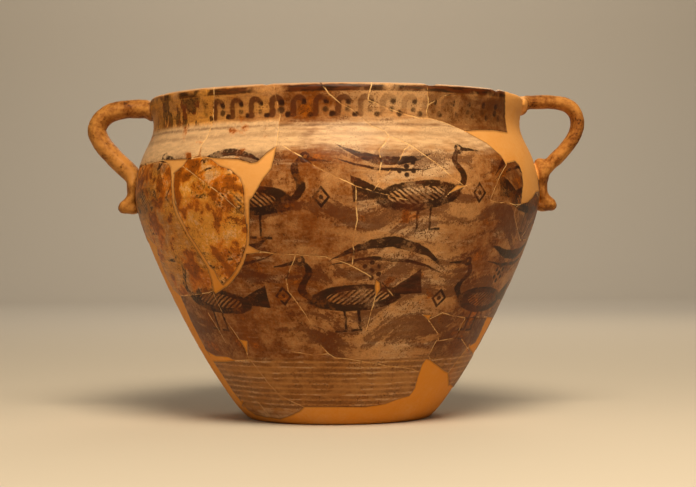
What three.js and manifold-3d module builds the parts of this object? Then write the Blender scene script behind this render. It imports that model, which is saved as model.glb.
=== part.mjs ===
// A krater: a wide hand-painted clay mixing bowl with a flat base, a high round shoulder,
// a short upright neck and two upright handles that run from the lip to the shoulder.
// Units are millimetres. +Z is up, the origin is the middle of the underside,
// the handles lie on the X axis and the painted front faces -Y.
import * as THREE from "three";
import { mergeVertices } from "three/addons/utils/BufferGeometryUtils.js";
import Module from "manifold-3d";

// Driving dimensions of the pot
const HEIGHT = 290;
const BASE_RADIUS = 80;
const BASE_CORNER = { radius: 86, height: 3 };
const BELLY = { radius: 184.3, height: 200 };
const NECK = { radius: 167.4, height: 265 };
const LIP = { radius: 170.5, height: 285, thickness: 7 };
const WALL = 8;
const FLOOR = 10;
const FLOOR_CORNER = 14;

// How the wall swells: the lean of the wall above the base and the pull of each curve
const LOWER_LEAN_DEG = 43;
const LOWER_PULL = { base: 49, belly: 29 };
const SHOULDER_PULL = { belly: 40, neck: 18 };
const NECK_PULL = { neck: 9, lip: 8 };

// Handles: an oval roll of clay, thinner on the right, and the tail that turns out below it
const HANDLE_WIDTH = 23;
const HANDLE_THICKNESS = { left: 17, right: 12.6 };
const TAIL_WIDTH = 22;
const TAIL_THICKNESS = 11;
const HANDLE_ROOT_DEPTH = 4;

// Centre lines of the handle, as [distance from the axis, height]. The upper arms differ.
const UPPER_ARM = {
  left: [[NECK.radius - HANDLE_ROOT_DEPTH, 282], [191, 282.4], [208, 279.2], [217.5, 271.5]],
  right: [[NECK.radius - HANDLE_ROOT_DEPTH, 286], [191, 286.2], [210, 284], [219.5, 275]],
};
const LOWER_ARM = [[220.6, 263], [216.5, 252], [206, 239.5], [194.5, 228], [BELLY.radius, 218]];
const TAIL_LINE = [
  [191, 226],
  [187.8, 215],
  [187.2, 206],
  [190, 198],
  [196.5, 192.6],
];

// Clay pressed on where the handle meets the lip and the shoulder, the tail's round tip and the clay
// that fills it in below: the middle of each pat, as in the lines above, and its reach outwards,
// sideways and upwards. On the right the lip is built up a little and the shoulder has a fat ledge.
const LIP_PAT = {
  left: { at: [170, 280.5], reach: [7, 15, 9.6] },
  right: { at: [168.5, 283], reach: [6.5, 30, 9.6] },
};
const SHOULDER_PAT = {
  left: { at: [187, 213], reach: [6.5, 14, 13] },
  right: { at: [186.5, 221], reach: [8, 15, 14] },
};
const TAIL_TIP = { at: [196.3, 191.6], reach: [5.4, 10.5, 5.2] };
const TAIL_FOOT = { at: [189, 191], reach: [11, 10.5, 4.8] };

// Facets
const TURN_STEPS = 64;
const WALL_STEPS = { lower: 9, shoulder: 8, neck: 3, lip: 3 };
const HANDLE_SIDES = 12;
const HANDLE_STEPS = 20;
const TAIL_STEPS = 8;
const PAT_RINGS = 8;

const CLAY = new THREE.MeshStandardMaterial({
  color: 0xb98350,
  roughness: 0.62,
  metalness: 0,
});

const wasm = await Module();
wasm.setup();

// The wall's outside from the base corner to the lip, as curves that join smoothly.
function wallCurves() {
  const lean = THREE.MathUtils.degToRad(LOWER_LEAN_DEG);
  const corner = new THREE.Vector2(BASE_CORNER.radius, BASE_CORNER.height);
  const belly = new THREE.Vector2(BELLY.radius, BELLY.height);
  const neck = new THREE.Vector2(NECK.radius, NECK.height);
  const lip = new THREE.Vector2(LIP.radius, LIP.height);
  const along = (point, x, y) => point.clone().add(new THREE.Vector2(x, y));
  return {
    lower: new THREE.CubicBezierCurve(
      corner,
      along(corner, LOWER_PULL.base * Math.cos(lean), LOWER_PULL.base * Math.sin(lean)),
      along(belly, 0, -LOWER_PULL.belly),
      belly,
    ),
    shoulder: new THREE.CubicBezierCurve(
      belly,
      along(belly, 0, SHOULDER_PULL.belly),
      along(neck, 0, -SHOULDER_PULL.neck),
      neck,
    ),
    neck: new THREE.CubicBezierCurve(
      neck,
      along(neck, 0, NECK_PULL.neck),
      along(lip, 0, -NECK_PULL.lip),
      lip,
    ),
  };
}

// Evenly spaced points of a curve, moved inwards by the given wall thickness.
function pointsAlong(curve, steps, inset) {
  const points = [];
  for (let i = 0; i <= steps; i += 1) {
    const point = curve.getPointAt(i / steps);
    const tangent = curve.getTangentAt(i / steps);
    points.push(new THREE.Vector2(point.x - tangent.y * inset, point.y + tangent.x * inset));
  }
  return points;
}

// A profile that starts and ends on the axis, turned once round it.
function turned(profile) {
  return solidOf(new THREE.LatheGeometry(profile, TURN_STEPS).rotateX(Math.PI / 2));
}

// The pot as if it were filled to the brim: underside, base corner, wall and rounded lip.
function filledPot(curves) {
  const profile = [new THREE.Vector2(0, 0), new THREE.Vector2(BASE_RADIUS, 0)];
  profile.push(...pointsAlong(curves.lower, WALL_STEPS.lower, 0));
  profile.push(...pointsAlong(curves.shoulder, WALL_STEPS.shoulder, 0).slice(1));
  profile.push(...pointsAlong(curves.neck, WALL_STEPS.neck, 0).slice(1));
  const crown = LIP.thickness / 2;
  for (let i = 1; i <= WALL_STEPS.lip; i += 1) {
    const turn = (i / WALL_STEPS.lip) * (Math.PI / 2);
    const out = LIP.radius - crown + crown * Math.cos(turn);
    profile.push(new THREE.Vector2(out, LIP.height + (HEIGHT - LIP.height) * Math.sin(turn)));
  }
  profile.push(new THREE.Vector2(0, HEIGHT));
  return turned(profile);
}

// The hollow: a wall's thickness inside the pot, open at the top.
function hollow(curves) {
  const lower = pointsAlong(curves.lower, WALL_STEPS.lower, WALL);
  const floorRadius = lower.find((point) => point.y > FLOOR).x - FLOOR_CORNER;
  const profile = [new THREE.Vector2(0, FLOOR), new THREE.Vector2(floorRadius, FLOOR)];
  profile.push(...lower.filter((point) => point.y > FLOOR + FLOOR_CORNER / 2));
  profile.push(...pointsAlong(curves.shoulder, WALL_STEPS.shoulder, WALL).slice(1));
  profile.push(...pointsAlong(curves.neck, WALL_STEPS.neck, WALL).slice(1, -1));
  const crown = LIP.thickness / 2;
  const mouth = LIP.radius - LIP.thickness;
  for (let i = 0; i <= WALL_STEPS.lip; i += 1) {
    const turn = (i / WALL_STEPS.lip) * (Math.PI / 2);
    const out = mouth + crown - crown * Math.cos(turn);
    profile.push(new THREE.Vector2(out, LIP.height + (HEIGHT - LIP.height) * Math.sin(turn)));
  }
  profile.push(new THREE.Vector2(mouth + crown, HEIGHT + WALL));
  profile.push(new THREE.Vector2(0, HEIGHT + WALL));
  return turned(profile);
}

// A roll of oval section along a centre line in the XZ plane.
function roll(line, thickness, width, steps) {
  const path = new THREE.CatmullRomCurve3(line.map(([out, up]) => new THREE.Vector3(out, 0, up)));
  const section = new THREE.Shape();
  section.absellipse(0, 0, width / 2, thickness / 2, 0, 2 * Math.PI, false, 0);
  const options = { steps, extrudePath: path, bevelEnabled: false, curveSegments: HANDLE_SIDES / 2 };
  return solidOf(new THREE.ExtrudeGeometry(section, options));
}

// A flattened ball of clay on the XZ plane.
function pat({ at, reach }) {
  const ball = new THREE.SphereGeometry(1, HANDLE_SIDES, PAT_RINGS);
  return solidOf(ball.scale(...reach).translate(at[0], 0, at[1]));
}

// The left or right handle, laid out on the +X side, with the tail that lies on the shoulder
// and turns out at its tip.
function handle(side) {
  const line = [...UPPER_ARM[side], ...LOWER_ARM];
  const loop = roll(line, HANDLE_THICKNESS[side], HANDLE_WIDTH, HANDLE_STEPS);
  const tail = roll(TAIL_LINE, TAIL_THICKNESS, TAIL_WIDTH, TAIL_STEPS);
  const pats = [LIP_PAT[side], SHOULDER_PAT[side], TAIL_TIP, TAIL_FOOT];
  return pats.reduce((clay, each) => clay.add(pat(each)), loop.add(tail));
}

// A closed geometry as a solid that can be joined and cut.
function solidOf(geometry) {
  geometry.deleteAttribute("normal");
  geometry.deleteAttribute("uv");
  const merged = mergeVertices(geometry);
  const mesh = new wasm.Mesh({
    numProp: 3,
    vertProperties: merged.attributes.position.array,
    triVerts: new Uint32Array(merged.index.array),
  });
  return new wasm.Manifold(mesh);
}

// A solid as a geometry that can be drawn.
function geometryOf(solid) {
  const mesh = solid.getMesh();
  const geometry = new THREE.BufferGeometry();
  geometry.setAttribute("position", new THREE.BufferAttribute(mesh.vertProperties, 3));
  geometry.setIndex(new THREE.BufferAttribute(mesh.triVerts, 1));
  geometry.computeVertexNormals();
  return geometry;
}

// Pot and handles are fired as one piece, so they are one solid, hollowed last.
function kraterMesh() {
  const curves = wallCurves();
  const right = handle("right");
  const left = handle("left").mirror([1, 0, 0]);
  const solid = filledPot(curves).add(right).add(left).subtract(hollow(curves));
  const mesh = new THREE.Mesh(geometryOf(solid), CLAY);
  mesh.name = "krater";
  return mesh;
}

const krater = new THREE.Group();
krater.add(kraterMesh());

export default krater;
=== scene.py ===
# Looks of a restored clay krater: a turned wall with pressed-on handles, glued from sherds,
# with plaster fills, worn painted bands and rows of painted water birds among reeds.
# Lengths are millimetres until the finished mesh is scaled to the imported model.
import math
import random
from functools import partial, reduce
from typing import NamedTuple

import bmesh
import bpy
import numpy as np
from mathutils import Matrix, Vector
from mathutils.bvhtree import BVHTree
from mathutils.geometry import interpolate_bezier
from mathutils.kdtree import KDTree


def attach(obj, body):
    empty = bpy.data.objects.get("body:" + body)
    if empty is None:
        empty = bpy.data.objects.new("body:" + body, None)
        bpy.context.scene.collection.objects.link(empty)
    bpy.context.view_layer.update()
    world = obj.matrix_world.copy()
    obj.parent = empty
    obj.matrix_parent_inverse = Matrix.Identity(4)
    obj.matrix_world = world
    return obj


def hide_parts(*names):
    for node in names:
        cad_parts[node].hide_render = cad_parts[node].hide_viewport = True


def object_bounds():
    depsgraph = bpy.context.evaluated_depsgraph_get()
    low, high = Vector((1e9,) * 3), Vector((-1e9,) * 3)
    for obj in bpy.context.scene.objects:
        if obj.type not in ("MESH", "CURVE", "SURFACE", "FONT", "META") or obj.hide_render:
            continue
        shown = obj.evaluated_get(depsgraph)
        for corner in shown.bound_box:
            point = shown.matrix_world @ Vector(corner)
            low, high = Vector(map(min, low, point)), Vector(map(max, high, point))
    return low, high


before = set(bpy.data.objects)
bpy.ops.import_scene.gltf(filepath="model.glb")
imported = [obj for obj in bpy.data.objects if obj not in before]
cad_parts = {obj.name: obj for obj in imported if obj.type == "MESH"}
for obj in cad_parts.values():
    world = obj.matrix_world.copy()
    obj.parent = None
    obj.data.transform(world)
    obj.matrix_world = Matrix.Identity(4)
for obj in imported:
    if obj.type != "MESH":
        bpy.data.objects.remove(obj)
cad_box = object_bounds()

# The pot's wall, each place as (distance from the axis, height)
HEIGHT = 290
BASE_RADIUS = 80
BASE_CORNER = (86, 3)
BELLY = (184.3, 200)
NECK = (167.4, 265)
LIP = (170.5, 285)
LIP_THICKNESS = 7
WALL = 8
FLOOR = 10
FLOOR_CORNER = 14
LOWER_LEAN_DEG = 43
LOWER_PULL = (49, 29)
SHOULDER_PULL = (40, 18)
NECK_PULL = (9, 8)
FOOT_PULL = ((3, 0), (-1.5, -1.5))
FLOOR_PULL = ((-4, -4), (6, 0))

# The handles: an oval roll, the tail that turns out below it and the pats of clay at its roots
UPPER_ARM = {"left": [(163.4, 282), (191, 282.4), (208, 279.2), (217.5, 271.5)],
             "right": [(163.4, 286), (191, 286.2), (210, 284), (219.5, 275)]}
LOWER_ARM = [(220.6, 263), (216.5, 252), (206, 239.5), (194.5, 228), (184.3, 218)]
HANDLE_WIDTH = 23
HANDLE_THICKNESS = {"left": 17, "right": 12.6}
TAIL_LINE = [(191, 226), (187.8, 215), (187.2, 206), (190, 198), (196.5, 192.6)]
TAIL_WIDTH = 22
TAIL_THICKNESS = 11
LIP_PAT = {"left": ((170, 280.5), (7, 15, 9.6)), "right": ((168.5, 283), (6.5, 30, 9.6))}
SHOULDER_PAT = {"left": ((187, 213), (6.5, 14, 13)), "right": ((186.5, 221), (8, 15, 14))}
TAIL_TIP = ((196.3, 191.6), (5.4, 10.5, 5.2))
TAIL_FOOT = ((189, 191), (11, 10.5, 4.8))
HANDLE_REACH = 16
HANDLE_FOOT = 175
ROOTS_FROM = 150
ROOTS_REACH = 26

# Wear and hand work: depths in millimetres, a ridge's with its radians per millimetre of height and
# a hand mark's with its length and phase
JOIN_DEPTH = 0.32
FILL_DEPTH = 0.65
SHERD_SHIFT = 0.25
OUTER_RIDGES = (0.07, 1.19)
INNER_RIDGES = (0.22, 0.66)
HAND_MARKS = ((0.45, 23, 0.3), (0.16, 7, 2))
MEND_PLACE = Vector((-218, 0, 265))
MEND_FACING = Vector((0.34, 0, 0.94))
MEND_REACH = 22
MEND_DEPTH = 0.5
OUT_OF_ROUND = (0.5, 0.3)
LIP_WEAR = 0.25
CHIP_DEPTH = 1.3
CHIP_LENGTH = 31
LOW_LIP_DEPTH = 0.5
LOW_LIP_DEG = (64, 78)

# Fineness of the mesh
TURN_STEPS = 288
OUTER_STEPS = (64, 22, 8)
INNER_STEPS = (30, 10, 5)
LIP_STEPS = 8
ROLL_SIDES = 24
ROLL_STEPS = 5
HANDLE_VOXEL = 1.5
HANDLE_SMOOTHING = 6
MERGE_DISTANCE = 0.15
CREASE_TURN = 0.35
CREASE_WIDTH = 3
CREASE_SMOOTHING = 8
SEAM_REACH = (4.2, 2.4)

# The photo's camera, which is also the picture's
PHOTO_SIZE = (696, 487)
PHOTO_FOCAL = 1700
SENSOR = 36
EYE = Vector((9.2, -1560, 153.8))
PITCH_DEG = 0.15
ROLL_DEG = -0.42

MM = (cad_box[1].y - cad_box[0].y) / (2 * BELLY[0])
FAR = 99.0
UP = Vector((0, 0, 1))
VIEW = (Matrix.Rotation(math.radians(90 + PITCH_DEG), 3, "X")
        @ Matrix.Rotation(math.radians(ROLL_DEG), 3, "Z"))


# Sherds and fills of the front, traced on the photo in pixels
LEFT_NECK = [(120, 80), (214, 80), (213, 121), (207, 137), (201, 145), (198, 155), (187, 159),
             (163, 160), (141, 165), (120, 170)]
MIDDLE_NECK = [(214, 80), (273, 80), (275, 93), (280, 114), (279, 123), (276, 146), (265, 154),
               (257, 162), (251, 163), (238, 159), (215, 158), (200, 156), (201, 145), (207, 137),
               (213, 121)]
RIGHT_NECK = [(427, 80), (428, 104), (426, 112), (428, 118), (440, 121), (464, 131), (477, 130),
              (492, 130), (507, 132), (505, 118), (505, 80)]
LEFT_SHERD = [(138, 168), (147, 164), (158, 162), (168, 164), (170, 167), (173, 204), (175, 212),
              (187, 236), (200, 256), (207, 268), (211, 280), (212, 291), (208, 293), (193, 295),
              (180, 296), (168, 293), (150, 262), (135, 225), (128, 195)]
LEFT_EDGE_FILL = [(140, 233), (147, 237), (157, 247), (157, 253), (161, 265), (166, 277),
                  (172, 289), (180, 296), (191, 322), (206, 351), (221, 374), (232, 391),
                  (248, 410), (240, 412), (200, 360), (150, 270)]
RUST_SHERD = [(172, 174), (182, 166), (187, 159), (201, 157), (211, 159), (220, 166), (230, 169),
              (240, 178), (243, 186), (245, 217), (247, 230), (247, 243), (241, 264), (232, 276),
              (213, 291), (211, 280), (207, 268), (199, 254), (180, 222), (176, 206), (173, 190)]
RUST_TOP = [(194, 175), (220, 194), (244, 216), (244, 200), (243, 186), (240, 178), (230, 169),
            (220, 166), (211, 159), (201, 157), (187, 159), (182, 166)]
WEDGE_FILL = [(200, 156), (215, 158), (238, 159), (251, 163), (257, 162), (265, 154), (276, 146),
              (274, 157), (271, 168), (263, 178), (252, 197), (249, 200), (249, 239), (246, 251),
              (247, 230), (245, 217), (244, 200), (243, 186), (240, 178), (230, 169), (220, 166),
              (211, 159)]
LEFT_SHOULDER_FILL = [(163, 160), (187, 159), (182, 166), (174, 172), (173, 184), (174, 202),
                      (177, 212), (188, 234), (201, 253), (209, 266), (207, 268), (199, 255),
                      (186, 235), (175, 214), (172, 203), (171, 186), (170, 167), (168, 164)]
TIP_FILL = [(207, 268), (209, 266), (214, 271), (217, 278), (221, 284), (225, 287), (221, 290),
            (215, 294), (213, 291), (211, 280)]
RUST_JOIN = [(247, 218), (249, 219), (249, 242), (246, 254), (243, 264), (238, 273), (231, 282),
             (225, 288), (223, 285), (229, 279), (235, 271), (240, 262), (244, 252), (246, 245),
             (247, 230)]
CORNER_FILL = [(247, 245), (253, 248), (261, 252), (246, 254)]
RIGHT_FILL = [(505, 80), (505, 118), (507, 132), (492, 130), (477, 130), (464, 131), (486, 143),
              (501, 156), (506, 165), (507, 163), (515, 161), (519, 165), (522, 173), (523, 183),
              (521, 204), (528, 202), (533, 197), (536, 192), (545, 190), (560, 160), (540, 80)]
BASE_FILL = [(426, 359), (432, 361), (444, 371), (448, 373), (449, 383), (455, 388), (440, 430),
             (230, 430), (243, 403), (248, 410), (256, 415), (265, 417), (280, 419), (292, 415),
             (300, 411), (304, 407), (335, 407), (365, 407), (385, 404), (398, 399), (409, 396),
             (414, 389), (418, 375), (422, 364)]
RIGHT_EDGE_FILL = [(487, 317), (495, 318), (484, 340), (474, 355), (468, 347), (475, 343),
                   (480, 333)]
DROP_FILL = [(376, 280), (380, 283), (380, 289), (376, 296), (375, 287)]
SHOULDER_CHIP = [(465, 186), (457, 185), (449, 193)]
LOW_CHIP = [(423, 315), (431, 315), (428, 320)]
LOW_LEFT_FILL = [(206, 351), (215, 356), (227, 357), (235, 361), (227, 362), (213, 362)]
SLIVER_FILL = [(239, 340), (247, 341), (247, 354)]
STRIPED_SHERD = [(213, 362), (227, 362), (235, 361), (250, 360), (256, 368), (269, 385),
                 (280, 396), (292, 402), (304, 407), (300, 411), (292, 415), (280, 419),
                 (265, 417), (248, 410), (232, 391), (221, 374)]
LOW_LEFT_SHERD = [(180, 296), (193, 295), (208, 293), (212, 291), (215, 299), (226, 321),
                  (239, 340), (244, 348), (249, 360), (235, 361), (227, 357), (215, 356),
                  (206, 351), (191, 322)]
RIGHT_SHERD = [(507, 163), (515, 161), (519, 165), (522, 173), (523, 183), (521, 204), (515, 205),
               (506, 202), (498, 203), (490, 200), (495, 187), (500, 175), (506, 165)]
RIGHT_EDGE_SHERD = [(516, 207), (521, 204), (528, 202), (533, 197), (536, 192), (541, 200),
                    (535, 219), (528, 240), (520, 240), (514, 215)]
LOW_RIGHT_A = [(428, 356), (436, 341), (451, 338), (455, 338), (461, 339), (467, 348), (456, 362),
               (448, 373), (444, 371), (431, 361)]
LOW_RIGHT_B = [(467, 348), (474, 355), (462, 372), (449, 386), (448, 373), (456, 362)]
LOW_RIGHT_C = [(461, 325), (465, 318), (475, 317), (487, 317), (480, 333), (475, 343), (467, 348),
               (461, 339), (455, 338)]
LOW_RIGHT_D = [(428, 320), (442, 313), (449, 315), (465, 318), (461, 325), (455, 338), (438, 341),
               (437, 333)]

# Glued cracks of the front, in photo pixels
CRACKS = [
    [(323, 86), (329, 94), (340, 103), (351, 109), (364, 120), (372, 126), (385, 131), (389, 136),
     (385, 143), (379, 150), (381, 162), (378, 181)],
    [(368, 100), (385, 107), (395, 111), (418, 118), (427, 118)],
    [(372, 82), (368, 97), (368, 100)],
    [(428, 105), (435, 101), (443, 96), (449, 95)],
    [(389, 136), (400, 140), (410, 145), (427, 157), (436, 163), (447, 173), (464, 186)],
    [(285, 147), (302, 157), (315, 166), (328, 173), (343, 180), (356, 186), (373, 191),
     (403, 199)],
    [(373, 191), (383, 178), (400, 159), (404, 150), (410, 145)],
    [(356, 186), (356, 204), (357, 219), (353, 245), (354, 253), (352, 264)],
    [(261, 252), (278, 254), (300, 255), (325, 257), (339, 261), (350, 265), (368, 275),
     (375, 280)],
    [(295, 256), (293, 262), (286, 279), (288, 291), (298, 304), (308, 319)],
    [(375, 297), (373, 305), (370, 316), (366, 331)],
    [(300, 353), (312, 355), (328, 354), (335, 358), (348, 359), (387, 366), (412, 369),
     (418, 372)],
    [(324, 349), (329, 355)],
    [(212, 320), (221, 335)],
    [(261, 406), (271, 418)],
    [(383, 284), (389, 291)],
    [(529, 224), (526, 231), (523, 235)],
    [(508, 272), (511, 268)],
]
TRACE_STEP = 2
SIDE_PROBE = 1
GRAZING = 0.03


class Tone(NamedTuple):
    """How one sherd differs from the next: lightness, rust stain and wear of its paint."""
    light: float = 0.0
    rust: float = 0.0
    wear: float = 0.35


# Later outlines lie over earlier ones; a fill has no tone
UPPER_FILLS = [WEDGE_FILL, LEFT_SHOULDER_FILL, TIP_FILL, RUST_JOIN, CORNER_FILL, RIGHT_FILL, BASE_FILL,
               RIGHT_EDGE_FILL, DROP_FILL, SHOULDER_CHIP, LOW_CHIP, LOW_LEFT_FILL, SLIVER_FILL]
FRONT = [
    (LEFT_NECK, Tone(0.42, 0.15, 0.45)),
    (MIDDLE_NECK, Tone(0.33, 0.1, 0.3)),
    (RIGHT_NECK, Tone(-0.24, -0.3, 0.6)),
    (LEFT_SHERD, Tone(0.06, 0.6, 0.7)),
    (LEFT_EDGE_FILL, None),
    (RUST_SHERD, Tone(0.18, 0.7, 0.8)),
    (RUST_TOP, Tone(0.06, 0.85, 0.75)),
    *((fill, None) for fill in UPPER_FILLS),
    (STRIPED_SHERD, Tone(0.12, -0.2, 0.3)),
    (LOW_LEFT_SHERD, Tone(-0.1, 0.2, 0.5)),
    (RIGHT_SHERD, Tone(-0.1, 0.4, 0.5)),
    (RIGHT_EDGE_SHERD, Tone(-0.15, 0.1, 0.5)),
    (LOW_RIGHT_A, Tone(-0.2, 0.0, 0.5)),
    (LOW_RIGHT_B, Tone(0.0, 0.6, 0.5)),
    (LOW_RIGHT_C, Tone(-0.25, 0.0, 0.4)),
    (LOW_RIGHT_D, Tone(-0.1, 0.2, 0.4)),
]
MAIN_TONE = Tone()

# Sherds of the back, which the photo does not show: rows of seeds scattered round it
BACK_ROWS = (30, 88, 142, 196, 252)
BACK_START_DEG = 98
BACK_STEP_DEG = 27
FRONT_EDGE_DEG = 64
LIMB_DEG = 81
BACK_SCATTER = 15
BACK_WANDER = (3.5, 1.2)
BACK_FILL_SHARE = 0.1
SEED = 7

# Painted birds and reeds: degrees round from the front, height, length, tilt in degrees and the way
# they face
BIRDS = [
    (-66, 196, 112, 4, 1), (-21, 193, 122, -3, 1), (24, 197, 116, 5, 1), (68, 194, 114, -2, 1),
    *((degrees, 196, 116, 0, 1) for degrees in (113, 158, 203, 249)),
    (-45, 110, 110, -6, -1), (3, 112, 118, 4, -1), (53, 109, 112, -3, -1),
    *((degrees, 111, 112, 0, -1) for degrees in (106, 158, 210, 262)),
]
REEDS = [
    (-82, 152, 94, 4, 1), (-34, 151, 100, 6, 1), (16, 152, 104, -5, -1), (66, 151, 98, 4, 1),
    (-31, 229, 78, 6, 1), (13, 228, 84, -5, -1), (58, 228, 78, 6, 1),
    *((degrees, 152, 100, 0, 1) for degrees in (119, 171, 223)),
]
FILLER_SPOTS = [(-0.16, 0.21), (0.45, 0.02)]
FILLER_SIZE = 21
BIRD_SIZE = 114
REED_SIZE = 105

# How far each motif's paint reaches from its middle: to the sides, up and down, and how far up that
# stretch is moved, all in units of the motif's length
BIRD_REACH = (0.6, 0.36, 0.04)
REED_REACH = (0.55, 0.2, 0)
FILLER_REACH = (0.6, 0.6, 0)


# Shape of the wall

def at(radius, height):
    """A place in the XZ plane."""
    return Vector((radius, 0, height))


def curve(start, leave, arrive, end, steps):
    """Points of a smooth curve that leaves its start and arrives at its end with the given pulls."""
    return interpolate_bezier(start, start + leave, end + arrive, end, steps + 1)


def wall_line(lower_steps, shoulder_steps, neck_steps):
    """The outside of the wall from the base corner to the lip."""
    corner, belly, neck, lip = at(*BASE_CORNER), at(*BELLY), at(*NECK), at(*LIP)
    lean = math.radians(LOWER_LEAN_DEG)
    leave = at(math.cos(lean), math.sin(lean)) * LOWER_PULL[0]
    lower = curve(corner, leave, -LOWER_PULL[1] * UP, belly, lower_steps)
    shoulder = curve(belly, SHOULDER_PULL[0] * UP, -SHOULDER_PULL[1] * UP, neck, shoulder_steps)
    top = curve(neck, NECK_PULL[0] * UP, -NECK_PULL[1] * UP, lip, neck_steps)
    return lower + shoulder[1:] + top[1:]


def inset(line, depth):
    """The line moved inwards, square to itself."""
    moved = []
    for before, point, after in zip(line[:1] + line, line, line[1:] + line[-1:]):
        along = (after - before).normalized()
        moved.append(point + at(-along.z, along.x) * depth)
    return moved


def pot_line():
    """The pot's section from the middle of the underside over the lip to the middle of the floor."""
    corner = at(*BASE_CORNER)
    underside = [at(BASE_RADIUS * share / 4, 0) for share in range(5)]
    foot = curve(underside[-1], at(*FOOT_PULL[0]), at(*FOOT_PULL[1]), corner, 3)[1:-1]
    crown = LIP_THICKNESS / 2
    lip = []
    for step in range(1, LIP_STEPS + 1):
        turn = math.pi * step / LIP_STEPS
        rise = (HEIGHT - LIP[1]) * math.sin(turn)
        lip.append(at(LIP[0] - crown + crown * math.cos(turn), LIP[1] + rise))
    inner = inset(wall_line(*INNER_STEPS), WALL)
    inner = [point for point in inner if FLOOR + FLOOR_CORNER / 2 < point.z < LIP[1] - 3]
    inner.reverse()
    hollow_floor = at(inner[-1].x - FLOOR_CORNER, FLOOR)
    bend = curve(inner[-1], at(*FLOOR_PULL[0]), at(*FLOOR_PULL[1]), hollow_floor, 4)[1:]
    floor = [at(hollow_floor.x * share / 4, FLOOR) for share in (3, 2, 1, 0)]
    return underside + foot + wall_line(*OUTER_STEPS) + lip + inner + bend + floor


def turned_pot():
    """The pot's section turned once round the axis."""
    pot = bmesh.new()
    section = [pot.verts.new(point) for point in pot_line()]
    edges = [pot.edges.new(pair) for pair in zip(section, section[1:])]
    bmesh.ops.spin(pot, geom=section + edges, cent=(0, 0, 0), axis=UP, angle=2 * math.pi,
                   steps=TURN_STEPS, use_merge=True)
    bmesh.ops.remove_doubles(pot, verts=pot.verts, dist=0.01)
    bmesh.ops.recalc_face_normals(pot, faces=pot.faces)
    return pot


# Shape of the handles

def smooth_line(places):
    """A smooth centre line through the places."""
    knots = [at(*place) for place in places]
    ends = knots[:1] + knots + knots[-1:]
    line = knots[:1]
    for before, start, end, after in zip(ends, ends[1:], ends[2:], ends[3:]):
        line += curve(start, (end - before) / 6, (start - after) / 6, end, ROLL_STEPS)[1:]
    return line


def roll(clay, places, thickness, width):
    """A roll of oval section along a centre line."""
    line = smooth_line(places)
    for before, point, after in zip(line[:1] + line, line, line[1:] + line[-1:]):
        along = (after - before).normalized()
        across = Vector((0, 1, 0)).cross(along) * thickness / 2
        axes = Matrix((across, Vector((0, width / 2, 0)), along)).transposed()
        section = Matrix.Translation(point) @ axes.to_4x4()
        if point is line[0]:
            ring = bmesh.ops.create_circle(clay, cap_ends=True, radius=1, segments=ROLL_SIDES,
                                           matrix=section)["verts"]
            edges = list(dict.fromkeys(edge for vert in ring for edge in vert.link_edges))
        else:
            grown = bmesh.ops.extrude_edge_only(clay, edges=edges)["geom"]
            ring = [part for part in grown if isinstance(part, bmesh.types.BMVert)]
            edges = [part for part in grown if isinstance(part, bmesh.types.BMEdge)
                     and part.is_boundary]
            bmesh.ops.transform(clay, matrix=section @ last.inverted(), verts=ring)
        last = section
    bmesh.ops.contextual_create(clay, geom=edges)


def handle(side):
    """One handle with its tail and pats, fused into one lump of clay."""
    clay = bmesh.new()
    roll(clay, UPPER_ARM[side] + LOWER_ARM, HANDLE_THICKNESS[side], HANDLE_WIDTH)
    roll(clay, TAIL_LINE, TAIL_THICKNESS, TAIL_WIDTH)
    for place, reach in (LIP_PAT[side], SHOULDER_PAT[side], TAIL_TIP, TAIL_FOOT):
        bmesh.ops.create_uvsphere(clay, u_segments=ROLL_SIDES, v_segments=16, radius=1,
                                  matrix=Matrix.Translation(at(*place)) @ Matrix.Diagonal((*reach, 1)))
    if side == "left":
        bmesh.ops.scale(clay, vec=(-1, 1, 1), verts=clay.verts)
    bmesh.ops.recalc_face_normals(clay, faces=clay.faces)
    lump = as_object(clay, side + "_handle")
    fuse = lump.modifiers.new("fuse", "REMESH")
    fuse.mode = "VOXEL"
    fuse.voxel_size = HANDLE_VOXEL
    smooth = lump.modifiers.new("smooth", "SMOOTH")
    smooth.factor = 0.5
    smooth.iterations = HANDLE_SMOOTHING
    apply_modifiers(lump)
    return lump


def as_object(shape, name):
    """A bmesh as an object of the scene."""
    mesh = bpy.data.meshes.new(name)
    shape.to_mesh(mesh)
    shape.free()
    made = bpy.data.objects.new(name, mesh)
    bpy.context.scene.collection.objects.link(made)
    return made


def apply_modifiers(piece):
    """Makes the piece's modifiers part of its mesh."""
    graph = bpy.context.evaluated_depsgraph_get()
    mesh = bpy.data.meshes.new_from_object(piece.evaluated_get(graph))
    piece.modifiers.clear()
    piece.data = mesh


def in_fixed_order(mesh):
    """The same mesh with its points and faces in an order that does not change from run to run."""
    places = [point.co[:] for point in mesh.vertices]
    order = sorted(range(len(places)), key=lambda old: places[old])
    number = {old: new for new, old in enumerate(order)}
    faces = []
    for face in mesh.polygons:
        corners = [number[old] for old in face.vertices]
        first = corners.index(min(corners))
        faces.append(corners[first:] + corners[:first])
    fixed = bpy.data.meshes.new(mesh.name)
    fixed.from_pydata([places[old] for old in order], [], sorted(faces))
    return fixed


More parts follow.
